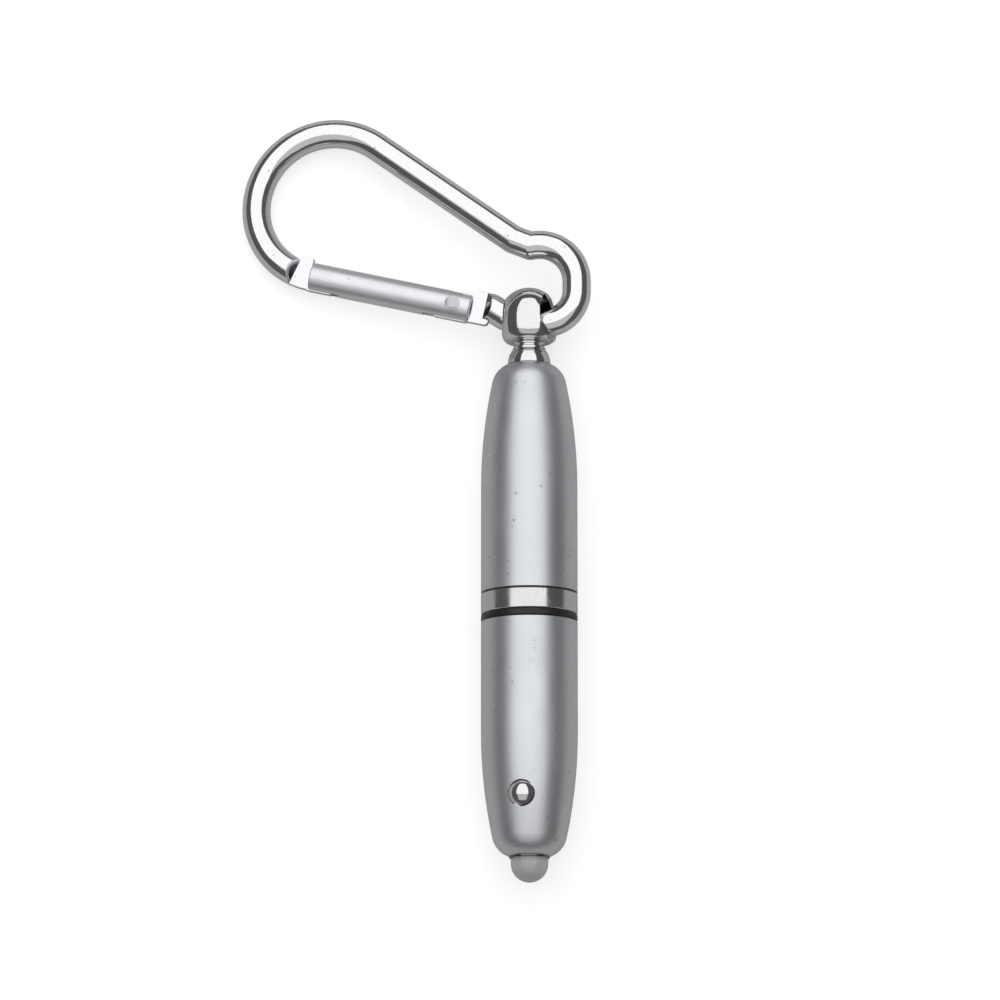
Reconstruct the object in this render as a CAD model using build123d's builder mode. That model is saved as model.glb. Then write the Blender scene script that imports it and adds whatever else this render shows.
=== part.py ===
from build123d import *
import os
from math import asin, cos, degrees, radians, sin, sqrt

# Keychain flashlight: a two-piece barrel with a 5 mm LED and a side button, a ball
# swivel on the tail and a wire carabiner that runs through the ball.
# Frame: the light lies on a table, barrel along Y, tail towards +Y, +Z up. The origin
# is the centre of the footprint on the table top. Millimetres and degrees.

# ---- barrel -----------------------------------------------------------------------
# "Stations" are positions along the barrel axis, measured from the centre of the ball.
BARREL_R = 6.5
TAIL_END = -6.3
REAR_LENGTH = 31.5
GASKET_WIDTH = 0.2
BAND_LENGTH = 2.75
ORING_WIDTH = 1.05
SEAL_GAP = 0.04
FRONT_LENGTH = 31.75
SHOULDER_FLAT = 1.75
SHOULDER_R = 3.3
TAPER_ANGLE = 12.0

REAR_OPEN = TAIL_END - REAR_LENGTH
BAND_REAR = REAR_OPEN - GASKET_WIDTH
BAND_FRONT = BAND_REAR - BAND_LENGTH
ORING_FRONT = BAND_FRONT - ORING_WIDTH
FRONT_OPEN = ORING_FRONT - SEAL_GAP
FRONT_END = FRONT_OPEN - FRONT_LENGTH

# ---- screw joint ------------------------------------------------------------------
THREAD_PITCH = 0.75
THREAD_DEPTH = 0.3
THREAD_R = 5.4
THREAD_CLEARANCE = 0.06
SOCKET_R = THREAD_R + THREAD_CLEARANCE
REAR_THREAD_LENGTH = 5.9
FRONT_THREAD_LENGTH = 5.95
COUPLER_BORE_R = 4.65
NECK_R = 5.0
ORING_SEAT_R = 5.3

# ---- cells and contacts -----------------------------------------------------------
CELL_R = 3.95
CELL_HEIGHT = 3.6
CELL_COUNT = 4
STACK_FRONT = -38.6
STACK_REAR = STACK_FRONT + CELL_COUNT * CELL_HEIGHT
SLEEVE_BORE_R = 4.03
SLEEVE_R = 4.6

# ---- LED ----------------------------------------------------------------------------
LED_R = 2.5
LED_STICKOUT = 3.35
LED_HEIGHT = 8.7
LED_FLANGE_R = 2.9
LED_FLANGE = 1.0
LED_HOLE_R = 2.75
LEAD_SIZE = 0.5
LEAD_SPACING = 2.54
LED_TIP = FRONT_END - LED_STICKOUT
LED_BASE = LED_TIP + LED_HEIGHT

# ---- button, along its own axis from the barrel axis outwards ---------------------------
BUTTON_STATION = FRONT_END + 7.96
BUTTON_ROLL = 11.0
BUTTON_TRAVEL = 0.45
BUTTON_R = 1.65
BUTTON_HOLE_R = 1.8
BUTTON_TOP = 6.83
BUTTON_DOME = 0.83
BUTTON_FLANGE_R = 2.1
BUTTON_FLANGE_TOP = 4.1
BUTTON_FLANGE_BOTTOM = 3.5
PLUNGER_TOP = 3.2
BOARD_BOTTOM = 0.25
BOARD_TOP = 1.05

# ---- ball swivel ----------------------------------------------------------------------
BALL_R = 4.12
BALL_SKIRT = 3.6
BALL_HOLE_R = 2.95
BALL_HOLE_TILT = 20.0
DOME_R = 2.87
DOME_TOP = -4.62
STEM_R = 0.95
STEM_BORE_R = 1.0
BOSS_SHANK_R = 1.9
END_WALL = 2.2

# ---- carabiner, in its own plane: u to the right, v towards the tail ----------------------
WIRE_R = 1.925
BOW_R = 10.48
BOW_CENTER = (-26.99, 15.92)
SPINE_ANGLE = 35.7
HOOK_TOP_R = 5.23
HOOK_TOP_CENTER = (1.27, 4.9)
HOOK_STRAIGHT = 1.27
KINK_ANGLE = 102.0
KINK_LENGTH = 2.0
RIVET_AT = (-10.27, 1.94)
GATE_ANGLE = 13.0
PADDLE_INNER = 2.5
PADDLE_OUTER = 1.8
PADDLE_THICKNESS = 1.3

# ---- gate, along its axis from the rivet towards the nose ---------------------------------
GATE_R = 2.0
GATE_BORE_R = 1.5
GATE_HINGE_END = -2.45
GATE_NOSE_END = 20.1
SLOT_WIDTH = 1.6
INNER_SLOT_END = 0.5
OUTER_SLOT_END = 3.9
NOSE_SLOT_START = 15.8
RIVET_R = 0.6

# ---- derived places -------------------------------------------------------------------
CARABINER_TILT = degrees(asin((BARREL_R - WIRE_R) / (BOW_R - BOW_CENTER[0])))
LEFTMOST = (BOW_CENTER[0] - BOW_R) * cos(radians(CARABINER_TILT)) - WIRE_R
HOOK_RIGHT = HOOK_TOP_CENTER[0] + HOOK_TOP_R
RIGHTMOST = HOOK_RIGHT * cos(radians(CARABINER_TILT)) + WIRE_R
BARREL_X = -(LEFTMOST + RIGHTMOST) / 2
BALL_Y = -(BOW_CENTER[1] + BOW_R + WIRE_R + LED_TIP) / 2

ball_center = Vector(BARREL_X, BALL_Y, BARREL_R)
barrel_axis = Axis(ball_center, (0, 1, 0))
barrel_plane = Plane(ball_center, x_dir=(1, 0, 0), z_dir=(0, 0, 1))


def across(station):
    """Plane square to the barrel axis at a station, its normal towards the tail."""
    return Plane(ball_center + Vector(0, station, 0), x_dir=(1, 0, 0), z_dir=(0, 1, 0))


def button_plane(height, station=BUTTON_STATION):
    """Plane square to the button axis, with x along the barrel towards the tail."""
    roll = radians(BUTTON_ROLL)
    outward = Vector(-sin(roll), 0, cos(roll))
    foot = ball_center + Vector(0, station, 0)
    return Plane(foot + outward * height, x_dir=(0, 1, 0), z_dir=outward)


def section(*outline):
    """Closed sketch through (radius, station) points, ready to revolve."""
    with BuildSketch() as drawn:
        with BuildLine():
            Polyline(*outline, close=True)
        make_face()
    return drawn.sketch


def shell_section(end, inward, bore):
    """Half section of a shell: rounded shoulder, long taper, straight wall.

    end is the station of the rounded end, inward is +1 or -1 towards the open end, and
    bore lists (radius, depth from the rounded end) from that end to the open end.
    """
    turn = radians(TAPER_ANGLE)
    taper_radius = BARREL_R - SHOULDER_FLAT - SHOULDER_R * cos(turn)
    taper_radius = taper_radius / (1 - cos(turn))
    taper_end = SHOULDER_R * (1 - sin(turn)) + taper_radius * sin(turn)
    shoulder_at = (SHOULDER_FLAT, end + inward * SHOULDER_R)
    taper_at = (BARREL_R - taper_radius, end + inward * taper_end)
    first = -90 * inward
    middle = -TAPER_ANGLE * inward
    inside = [(radius, end + inward * depth) for radius, depth in bore]
    with BuildSketch() as drawn:
        with BuildLine():
            shoulder = CenterArc(shoulder_at, SHOULDER_R, first, middle - first)
            taper = CenterArc(taper_at, taper_radius, middle, -middle)
            Polyline(taper @ 1, (BARREL_R, inside[-1][1]), *reversed(inside), shoulder @ 0)
        make_face()
    return drawn.sketch


def save(piece, node):
    """Label a finished piece and write it as its own STEP file."""
    piece.part.label = node
    export_step(piece.part, f"parts/{node}.step")
    print(f"{node:20s} {piece.part.volume:9.2f} mm3")


os.makedirs("parts", exist_ok=True)

# ======================================================================================
# Rear half of the barrel
# ======================================================================================
SEAT_DEPTH = 0.13
REAR_SKIRT = 6.6
WASHER_POCKET_R = 3.5
CONTACT_DEPTH = 3.4
CONTACT_BORE_R = 4.2
SLEEVE_DEPTH = 8.2
REAR_BORE_R = 4.7

with BuildPart() as rear_shell:
    with BuildSketch(barrel_plane):
        add(
            shell_section(
                TAIL_END,
                -1,
                [
                    (0, 0),
                    (0, END_WALL),
                    (WASHER_POCKET_R, END_WALL),
                    (WASHER_POCKET_R, CONTACT_DEPTH),
                    (CONTACT_BORE_R, CONTACT_DEPTH),
                    (CONTACT_BORE_R, SLEEVE_DEPTH),
                    (REAR_BORE_R, SLEEVE_DEPTH),
                    (REAR_BORE_R, REAR_LENGTH - REAR_SKIRT),
                    (SOCKET_R, REAR_LENGTH - REAR_SKIRT),
                    (SOCKET_R, REAR_LENGTH),
                ],
            )
        )
    revolve(axis=barrel_axis)
    with BuildSketch(across(TAIL_END)):
        Circle(BOSS_SHANK_R)
    extrude(amount=-END_WALL, mode=Mode.SUBTRACT)
    with BuildSketch(across(TAIL_END)):
        Circle(DOME_R)
    extrude(amount=-SEAT_DEPTH, mode=Mode.SUBTRACT)
save(rear_shell, "rear_shell")

# Domed collar: pressed into the end wall, bored for the swivel stem.
with BuildPart() as tail_boss:
    dome_top_r = sqrt(DOME_R**2 - (DOME_TOP - TAIL_END) ** 2)
    dome_turn = asin((DOME_TOP - TAIL_END) / DOME_R) / 2
    dome_mid = (DOME_R * cos(dome_turn), TAIL_END + DOME_R * sin(dome_turn))
    with BuildSketch(barrel_plane):
        with BuildLine():
            ThreePointArc((DOME_R, TAIL_END), dome_mid, (dome_top_r, DOME_TOP))
            Polyline(
                (dome_top_r, DOME_TOP),
                (STEM_BORE_R, DOME_TOP),
                (STEM_BORE_R, TAIL_END - END_WALL),
                (BOSS_SHANK_R, TAIL_END - END_WALL),
                (BOSS_SHANK_R, TAIL_END - SEAT_DEPTH),
                (DOME_R, TAIL_END - SEAT_DEPTH),
                (DOME_R, TAIL_END),
            )
        make_face()
    revolve(axis=barrel_axis)
save(tail_boss, "tail_boss")

# Negative contact: a dished brass disc on the ledge behind the spring.
CONTACT_LEDGE = TAIL_END - CONTACT_DEPTH
CONTACT_R = 4.15
CONTACT_HOLE_R = 0.6
CONTACT_RIM_R = 3.8
CONTACT_RIM = 0.9
CONTACT_T = 0.4
with BuildPart() as tail_contact:
    with BuildSketch(barrel_plane):
        add(
            section(
                (CONTACT_HOLE_R, CONTACT_LEDGE),
                (CONTACT_R, CONTACT_LEDGE),
                (CONTACT_R, CONTACT_LEDGE - CONTACT_RIM),
                (CONTACT_RIM_R, CONTACT_LEDGE - CONTACT_RIM),
                (CONTACT_RIM_R, CONTACT_LEDGE - CONTACT_T),
                (CONTACT_HOLE_R, CONTACT_LEDGE - CONTACT_T),
            )
        )
    revolve(axis=barrel_axis)
save(tail_contact, "tail_contact")

TAIL_SPRING_WIRE_R = 0.25
TAIL_SPRING_R = 3.2
TAIL_SPRING_PITCH = 2.1
with BuildPart() as tail_spring:
    spring_rear = CONTACT_LEDGE - CONTACT_T - TAIL_SPRING_WIRE_R
    spring_front = STACK_REAR + TAIL_SPRING_WIRE_R
    with BuildLine() as tail_coil:
        Helix(
            pitch=TAIL_SPRING_PITCH,
            height=spring_rear - spring_front,
            radius=TAIL_SPRING_R,
            center=ball_center + Vector(0, spring_front, 0),
            direction=(0, 1, 0),
        )
    with BuildSketch(Plane(tail_coil.line @ 0, z_dir=tail_coil.line % 0)):
        Circle(TAIL_SPRING_WIRE_R)
    sweep(is_frenet=True)
save(tail_spring, "tail_spring")

SLEEVE_REAR = TAIL_END - SLEEVE_DEPTH - 0.1
SLEEVE_FRONT = -40.9
with BuildPart() as battery_sleeve:
    with BuildSketch(barrel_plane):
        add(
            section(
                (SLEEVE_BORE_R, SLEEVE_REAR),
                (SLEEVE_R, SLEEVE_REAR),
                (SLEEVE_R, SLEEVE_FRONT),
                (SLEEVE_BORE_R, SLEEVE_FRONT),
            )
        )
    revolve(axis=barrel_axis)
save(battery_sleeve, "battery_sleeve")

# ======================================================================================
# Coupler between the halves, with its seals
# ======================================================================================


def cut_thread(station):
    """Path of a thread groove along the coupler, from a station towards the tail."""
    length = FRONT_THREAD_LENGTH - 2 * THREAD_PITCH
    with BuildLine() as drawn:
        Helix(
            pitch=THREAD_PITCH,
            height=length,
            radius=THREAD_R,
            center=ball_center + Vector(0, station, 0),
            direction=(0, 1, 0),
        )
    return drawn.line


COUPLER_REAR = REAR_OPEN + REAR_THREAD_LENGTH
COUPLER_FRONT = ORING_FRONT - FRONT_THREAD_LENGTH
THREAD_CHAMFER = 0.3
RELIEF_WIDTH = 0.8
BAND_EDGE = 0.12
GASKET_INSET = 0.25
ORING_CORNER = 0.3
GROOVE_WIDTH = 0.9 * THREAD_PITCH
GROOVE_LEAD = 0.1

with BuildPart() as coupler:
    with BuildSketch(barrel_plane):
        add(
            section(
                (COUPLER_BORE_R, COUPLER_REAR),
                (THREAD_R - THREAD_CHAMFER, COUPLER_REAR),
                (THREAD_R, COUPLER_REAR - THREAD_CHAMFER),
                (THREAD_R, REAR_OPEN + RELIEF_WIDTH),
                (NECK_R, REAR_OPEN + RELIEF_WIDTH),
                (NECK_R, BAND_REAR),
                (BARREL_R - BAND_EDGE, BAND_REAR),
                (BARREL_R, BAND_REAR - BAND_EDGE),
                (BARREL_R, BAND_FRONT + BAND_EDGE),
                (BARREL_R - BAND_EDGE, BAND_FRONT),
                (ORING_SEAT_R, BAND_FRONT),
                (ORING_SEAT_R, ORING_FRONT),
                (THREAD_R, ORING_FRONT),
                (THREAD_R, COUPLER_FRONT + THREAD_CHAMFER),
                (THREAD_R - THREAD_CHAMFER, COUPLER_FRONT),
                (COUPLER_BORE_R, COUPLER_FRONT),
            )
        )
    revolve(axis=barrel_axis)
    for thread_start in (COUPLER_FRONT + THREAD_PITCH, REAR_OPEN + RELIEF_WIDTH + THREAD_PITCH):
        groove = cut_thread(thread_start)
        radial = Vector((groove @ 0).X - BARREL_X, 0, (groove @ 0).Z - BARREL_R).normalized()
        half_width = GROOVE_WIDTH / 2
        with BuildSketch(Plane(groove @ 0, x_dir=radial, z_dir=groove % 0)):
            with BuildLine():
                Polyline(
                    (GROOVE_LEAD, -half_width),
                    (GROOVE_LEAD, half_width),
                    (-THREAD_DEPTH, 0),
                    close=True,
                )
            make_face()
        sweep(path=groove, is_frenet=True, mode=Mode.SUBTRACT)
save(coupler, "coupler")

with BuildPart() as gasket_ring:
    with BuildSketch(barrel_plane):
        add(
            section(
                (NECK_R, REAR_OPEN),
                (BARREL_R - GASKET_INSET, REAR_OPEN),
                (BARREL_R - GASKET_INSET, BAND_REAR),
                (NECK_R, BAND_REAR),
            )
        )
    revolve(axis=barrel_axis)
save(gasket_ring, "gasket_ring")

with BuildPart() as o_ring:
    with BuildSketch(barrel_plane):
        with Locations(((ORING_SEAT_R + BARREL_R) / 2, (BAND_FRONT + ORING_FRONT) / 2)):
            RectangleRounded(BARREL_R - ORING_SEAT_R, ORING_WIDTH, ORING_CORNER)
    revolve(axis=barrel_axis)
save(o_ring, "o_ring")

# ======================================================================================
# Cells
# ======================================================================================
CAN_EDGE = 0.25
CAP_R = 3.2
CAP_STEP = 0.3
CAP_EDGE = 0.1

for number in range(1, CELL_COUNT + 1):
    front = STACK_REAR - number * CELL_HEIGHT
    rear = front + CELL_HEIGHT
    with BuildPart() as battery_cell:
        with BuildSketch(barrel_plane):
            add(
                section(
                    (0, front),
                    (CELL_R - CAN_EDGE, front),
                    (CELL_R, front + CAN_EDGE),
                    (CELL_R, rear - CAP_STEP - CAN_EDGE),
                    (CELL_R - CAN_EDGE, rear - CAP_STEP),
                    (CAP_R, rear - CAP_STEP),
                    (CAP_R, rear - CAP_EDGE),
                    (CAP_R - CAP_EDGE, rear),
                    (0, rear),
                )
            )
        revolve(axis=barrel_axis)
    save(battery_cell, f"battery_cell_{number}")

# ======================================================================================
# Front half of the barrel
# ======================================================================================
FRONT_SKIRT = 7.2
FRONT_WALL = 1.8
HOLDER_STEP_R = 3.6
HOLDER_DEPTH = 3.2
HOLDER_SEAT_R = 4.2
MODULE_DEPTH = 5.6
MODULE_BORE_R = 4.75

with BuildPart() as front_shell:
    with BuildSketch(barrel_plane):
        add(
            shell_section(
                FRONT_END,
                1,
                [
                    (0, 0),
                    (0, FRONT_WALL),
                    (HOLDER_STEP_R, FRONT_WALL),
                    (HOLDER_STEP_R, HOLDER_DEPTH),
                    (HOLDER_SEAT_R, HOLDER_DEPTH),
                    (HOLDER_SEAT_R, MODULE_DEPTH),
                    (MODULE_BORE_R, MODULE_DEPTH),
                    (MODULE_BORE_R, FRONT_LENGTH - FRONT_SKIRT),
                    (SOCKET_R, FRONT_LENGTH - FRONT_SKIRT),
                    (SOCKET_R, FRONT_LENGTH),
                ],
            )
        )
    revolve(axis=barrel_axis)
    with BuildSketch(across(FRONT_END)):
        Circle(LED_HOLE_R)
    extrude(amount=HOLDER_DEPTH, mode=Mode.SUBTRACT)
    with BuildSketch(button_plane(BOARD_TOP)):
        Circle(BUTTON_HOLE_R)
    extrude(amount=BARREL_R, mode=Mode.SUBTRACT)
save(front_shell, "front_shell")

# ---- LED ------------------------------------------------------------------------------
LEAD_END = LED_BASE + 5.0
CUP_STATION = LED_TIP + 4.2
CUP_R = 0.75
CUP_HEIGHT = 0.95
CUP_WALL = 0.15
CUP_DEPTH = 0.5
CUP_TAPER = 20
LEAD_START = CUP_STATION + 0.9
# Blades inside the lens: (offset across the light, width).
ANVIL = (-0.55, 1.9)
POST = (1.25, 0.9)
BLADE_LENGTH = 1.9
BLADE_LAP = 0.2

with BuildPart() as led_leads:
    # The cathode lead ends in the anvil with the reflector cup, the anode in a post.
    lead_length = LEAD_END - LEAD_START
    with BuildSketch(button_plane(-LEAD_SIZE / 2, LEAD_START)):
        for side in (-1, 1):
            with Locations((lead_length / 2, side * LEAD_SPACING / 2)):
                Rectangle(lead_length, LEAD_SIZE)
        for offset, width in (ANVIL, POST):
            with Locations((BLADE_LENGTH / 2 - BLADE_LAP, offset)):
                Rectangle(BLADE_LENGTH, width)
    extrude(amount=LEAD_SIZE)
    with BuildSketch(across(CUP_STATION)):
        Circle(CUP_R)
    extrude(amount=CUP_HEIGHT)
    with BuildSketch(across(CUP_STATION)):
        Circle(CUP_R - CUP_WALL)
    extrude(amount=CUP_DEPTH, taper=CUP_TAPER, mode=Mode.SUBTRACT)
save(led_leads, "led_leads")

CHIP_SIZE = 0.5
CHIP_HEIGHT = 0.25
with BuildPart() as led_chip:
    with BuildSketch(across(CUP_STATION + CUP_DEPTH)):
        Rectangle(CHIP_SIZE, CHIP_SIZE)
    extrude(amount=-CHIP_HEIGHT)
save(led_chip, "led_chip")

with BuildPart() as led_lens:
    with BuildSketch(barrel_plane):
        with BuildLine():
            ThreePointArc(
                (0, LED_TIP),
                (LED_R * sin(radians(45)), LED_TIP + LED_R * (1 - cos(radians(45)))),
                (LED_R, LED_TIP + LED_R),
            )
            Polyline(
                (LED_R, LED_TIP + LED_R),
                (LED_R, LED_BASE - LED_FLANGE),
                (LED_FLANGE_R, LED_BASE - LED_FLANGE),
                (LED_FLANGE_R, LED_BASE),
                (0, LED_BASE),
                (0, LED_TIP),
            )
        make_face()
    revolve(axis=barrel_axis)
    add(led_leads.part, mode=Mode.SUBTRACT)
    add(led_chip.part, mode=Mode.SUBTRACT)
save(led_lens, "led_lens")

COLLAR_PROUD = 0.12
COLLAR_BORE_R = LED_R + 0.03
COLLAR_R = LED_HOLE_R - 0.01
COLLAR_EDGE = 0.07
with BuildPart() as led_collar:
    with BuildSketch(barrel_plane):
        add(
            section(
                (COLLAR_BORE_R, FRONT_END - COLLAR_PROUD),
                (COLLAR_R - COLLAR_EDGE, FRONT_END - COLLAR_PROUD),
                (COLLAR_R, FRONT_END - COLLAR_PROUD + COLLAR_EDGE),
                (COLLAR_R, FRONT_END + FRONT_WALL),
                (COLLAR_BORE_R, FRONT_END + FRONT_WALL),
            )
        )
    revolve(axis=barrel_axis)
save(led_collar, "led_collar")

HOLDER_GAP = 0.05
HOLDER_BORE_R = LED_R + HOLDER_GAP
HOLDER_FRONT = FRONT_END + FRONT_WALL + HOLDER_GAP
HOLDER_LEDGE = FRONT_END + HOLDER_DEPTH + HOLDER_GAP
HOLDER_REAR = LED_BASE - LED_FLANGE - 0.02
with BuildPart() as led_holder:
    with BuildSketch(barrel_plane):
        add(
            section(
                (HOLDER_BORE_R, HOLDER_FRONT),
                (HOLDER_STEP_R - HOLDER_GAP, HOLDER_FRONT),
                (HOLDER_STEP_R - HOLDER_GAP, HOLDER_LEDGE),
                (HOLDER_SEAT_R - HOLDER_GAP, HOLDER_LEDGE),
                (HOLDER_SEAT_R - HOLDER_GAP, HOLDER_REAR),
                (HOLDER_BORE_R, HOLDER_REAR),
            )
        )
    revolve(axis=barrel_axis)
save(led_holder, "led_holder")

# ---- circuit board with its switch and resistor, in the module carrier ---------------------
BOARD_FRONT = LED_BASE + 0.3
BOARD_REAR = FRONT_OPEN - 10.0
BOARD_WIDTH = 8.4
BOARD_LENGTH = BOARD_REAR - BOARD_FRONT
PEG_HOLE_R = 0.35
PEG_HOLE_INSET = 4.3
PEG_HOLE_SIDE = 3.2

with BuildPart() as circuit_board:
    with BuildSketch(button_plane(BOARD_BOTTOM, BOARD_FRONT + BOARD_LENGTH / 2)):
        Rectangle(BOARD_LENGTH, BOARD_WIDTH)
        for side in (1, -1):
            with Locations((PEG_HOLE_INSET - BOARD_LENGTH / 2, side * PEG_HOLE_SIDE)):
                Circle(PEG_HOLE_R, mode=Mode.SUBTRACT)
    extrude(amount=BOARD_TOP - BOARD_BOTTOM)
save(circuit_board, "circuit_board")

SWITCH_SIZE = 3.4
SWITCH_FLOOR = 1.45
SWITCH_TOP = 2.65
SWITCH_CAVITY_R = 1.3
SWITCH_CAVITY_TOP = 2.45
PLUNGER_R = 0.8
PLUNGER_SLIP = 0.06
with BuildPart() as switch_body:
    with BuildSketch(button_plane(BOARD_TOP)):
        Rectangle(SWITCH_SIZE, SWITCH_SIZE)
    extrude(amount=SWITCH_TOP - BOARD_TOP)
    with BuildSketch(button_plane(SWITCH_FLOOR)):
        Circle(SWITCH_CAVITY_R)
    extrude(amount=SWITCH_CAVITY_TOP - SWITCH_FLOOR, mode=Mode.SUBTRACT)
    with BuildSketch(button_plane(SWITCH_FLOOR)):
        Circle(PLUNGER_R + PLUNGER_SLIP)
    extrude(amount=SWITCH_TOP, mode=Mode.SUBTRACT)
save(switch_body, "switch_body")

STOP_GAP = 0.05
PLUNGER_BOTTOM = SWITCH_FLOOR + BUTTON_TRAVEL + STOP_GAP
PLUNGER_FOOT = 0.3
with BuildPart() as switch_plunger:
    with BuildSketch(button_plane(PLUNGER_BOTTOM)):
        Circle(PLUNGER_R + PLUNGER_FOOT)
    extrude(amount=PLUNGER_FOOT)
    with BuildSketch(button_plane(PLUNGER_BOTTOM)):
        Circle(PLUNGER_R)
    extrude(amount=PLUNGER_TOP - PLUNGER_BOTTOM)
save(switch_plunger, "switch_plunger")

# Snap dome: a thin bowed steel disc between the switch floor and the plunger.
SNAP_R = 1.15
SNAP_T = 0.08
SNAP_CLEAR = 0.02
SNAP_SHOULDER = (0.55, 0.7)
with BuildPart() as switch_dome:
    snap = button_plane(SWITCH_FLOOR)
    snap_section = Plane(snap.origin, x_dir=snap.x_dir, z_dir=-snap.y_dir)
    rise = PLUNGER_BOTTOM - SWITCH_FLOOR - SNAP_T - SNAP_CLEAR
    shoulder_r = SNAP_R * SNAP_SHOULDER[0]
    shoulder_rise = rise * SNAP_SHOULDER[1]
    with BuildSketch(snap_section):
        add(
            section(
                (0, rise),
                (shoulder_r, shoulder_rise),
                (SNAP_R, 0),
                (SNAP_R, SNAP_T),
                (shoulder_r, shoulder_rise + SNAP_T),
                (0, rise + SNAP_T),
            )
        )
    revolve(axis=Axis(snap.origin, snap.z_dir))
save(switch_dome, "switch_dome")

RESISTOR_SIZE = (1.6, 3.2)
RESISTOR_HEIGHT = 0.6
RESISTOR_FROM_BUTTON = 6.5
with BuildPart() as resistor:
    with BuildSketch(button_plane(BOARD_TOP, BUTTON_STATION + RESISTOR_FROM_BUTTON)):
        Rectangle(*RESISTOR_SIZE)
    extrude(amount=RESISTOR_HEIGHT)
save(resistor, "resistor")

CARRIER_R = 4.6
CARRIER_FRONT = LED_BASE + 0.5
CARRIER_REAR = FRONT_OPEN - 8.98
CARRIER_RELIEF_WIDTH = 5.0
CARRIER_RELIEF = 1.25
with BuildPart() as module_carrier:
    # Half-round tray: what lies below the board, with a groove for the solder joints.
    with BuildSketch(across(CARRIER_FRONT)):
        Circle(CARRIER_R)
    extrude(amount=CARRIER_REAR - CARRIER_FRONT)
    tray_middle = (CARRIER_FRONT + CARRIER_REAR) / 2
    tray_length = CARRIER_REAR - CARRIER_FRONT
    with BuildSketch(button_plane(BOARD_BOTTOM, tray_middle)):
        Rectangle(2 * tray_length, 4 * CARRIER_R)
    extrude(amount=2 * CARRIER_R, mode=Mode.SUBTRACT)
    with BuildSketch(button_plane(-CARRIER_RELIEF, tray_middle)):
        Rectangle(2 * tray_length, CARRIER_RELIEF_WIDTH)
    extrude(amount=2 * CARRIER_R, mode=Mode.SUBTRACT)
save(module_carrier, "module_carrier")

# ---- front contact: plug, pin, spring and ground ring ---------------------------------------
PLUG_REAR = -41.9
PLUG_FLANGE = COUPLER_FRONT - 0.9
PLUG_FRONT = CARRIER_REAR
PLUG_R = 3.7
PLUG_FLANGE_R = 4.65
PLUG_EDGE = 0.2
PIN_R = 0.8
PIN_HEAD = 0.4
PIN_HEAD_R = 2.2
with BuildPart() as contact_plug:
    with BuildSketch(barrel_plane):
        add(
            section(
                (PIN_R, PLUG_REAR),
                (PLUG_R - PLUG_EDGE, PLUG_REAR),
                (PLUG_R, PLUG_REAR - PLUG_EDGE),
                (PLUG_R, PLUG_FLANGE),
                (PLUG_FLANGE_R, PLUG_FLANGE),
                (PLUG_FLANGE_R, PLUG_FRONT),
                (PIN_R, PLUG_FRONT),
            )
        )
    revolve(axis=barrel_axis)
save(contact_plug, "contact_plug")

with BuildPart() as contact_pin:
    with BuildSketch(barrel_plane):
        add(
            section(
                (0, PLUG_REAR + PIN_HEAD),
                (PIN_HEAD_R, PLUG_REAR + PIN_HEAD),
                (PIN_HEAD_R, PLUG_REAR),
                (PIN_R, PLUG_REAR),
                (PIN_R, PLUG_FRONT - PIN_HEAD),
                (0, PLUG_FRONT - PIN_HEAD),
            )
        )
    revolve(axis=barrel_axis)
save(contact_pin, "contact_pin")

CONTACT_SPRING_WIRE_R = 0.175
CONTACT_SPRING_R = 1.8
CONTACT_SPRING_PITCH = 0.8
with BuildPart() as contact_spring:
    spring_front = PLUG_REAR + PIN_HEAD + CONTACT_SPRING_WIRE_R
    with BuildLine() as contact_coil:
        Helix(
            pitch=CONTACT_SPRING_PITCH,
            height=STACK_FRONT - CONTACT_SPRING_WIRE_R - spring_front,
            radius=CONTACT_SPRING_R,
            center=ball_center + Vector(0, spring_front, 0),
            direction=(0, 1, 0),
        )
    with BuildSketch(Plane(contact_coil.line @ 0, z_dir=contact_coil.line % 0)):
        Circle(CONTACT_SPRING_WIRE_R)
    sweep(is_frenet=True)
save(contact_spring, "contact_spring")

GROUND_RING_R = 5.2
GROUND_RING_BORE_R = 4.1
GROUND_RING_T = 0.8
with BuildPart() as ground_ring:
    with BuildSketch(barrel_plane):
        add(
            section(
                (GROUND_RING_BORE_R, PLUG_FLANGE),
                (GROUND_RING_R, PLUG_FLANGE),
                (GROUND_RING_R, PLUG_FLANGE + GROUND_RING_T),
                (GROUND_RING_BORE_R, PLUG_FLANGE + GROUND_RING_T),
            )
        )
    revolve(axis=barrel_axis)
save(ground_ring, "ground_ring")

# ---- push button ------------------------------------------------------------------------------
BUTTON_FOOT_R = 0.9
with BuildPart() as button_cap:
    with BuildSketch(button_plane(PLUNGER_TOP)):
        Circle(BUTTON_FOOT_R)
    extrude(amount=BUTTON_FLANGE_BOTTOM - PLUNGER_TOP)
    with BuildSketch(button_plane(BUTTON_FLANGE_BOTTOM)):
        Circle(BUTTON_FLANGE_R)
    extrude(amount=BUTTON_FLANGE_TOP - BUTTON_FLANGE_BOTTOM)
    top = button_plane(BUTTON_FLANGE_TOP)
    half_face = Plane(top.origin, x_dir=top.x_dir, z_dir=-top.y_dir)
    rim = BUTTON_TOP - BUTTON_DOME - BUTTON_FLANGE_TOP
    crown = BUTTON_TOP - BUTTON_FLANGE_TOP
    dome_r = (BUTTON_R**2 + BUTTON_DOME**2) / (2 * BUTTON_DOME)
    lean = asin(BUTTON_R / dome_r) / 2
    with BuildSketch(half_face):
        with BuildLine():
            Polyline((0, crown), (0, 0), (BUTTON_R, 0), (BUTTON_R, rim))
            ThreePointArc(
                (BUTTON_R, rim),
                (dome_r * sin(lean), crown - dome_r * (1 - cos(lean))),
                (0, crown),
            )
        make_face()
    revolve(axis=Axis(top.origin, top.z_dir))
save(button_cap, "button_cap")

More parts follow.
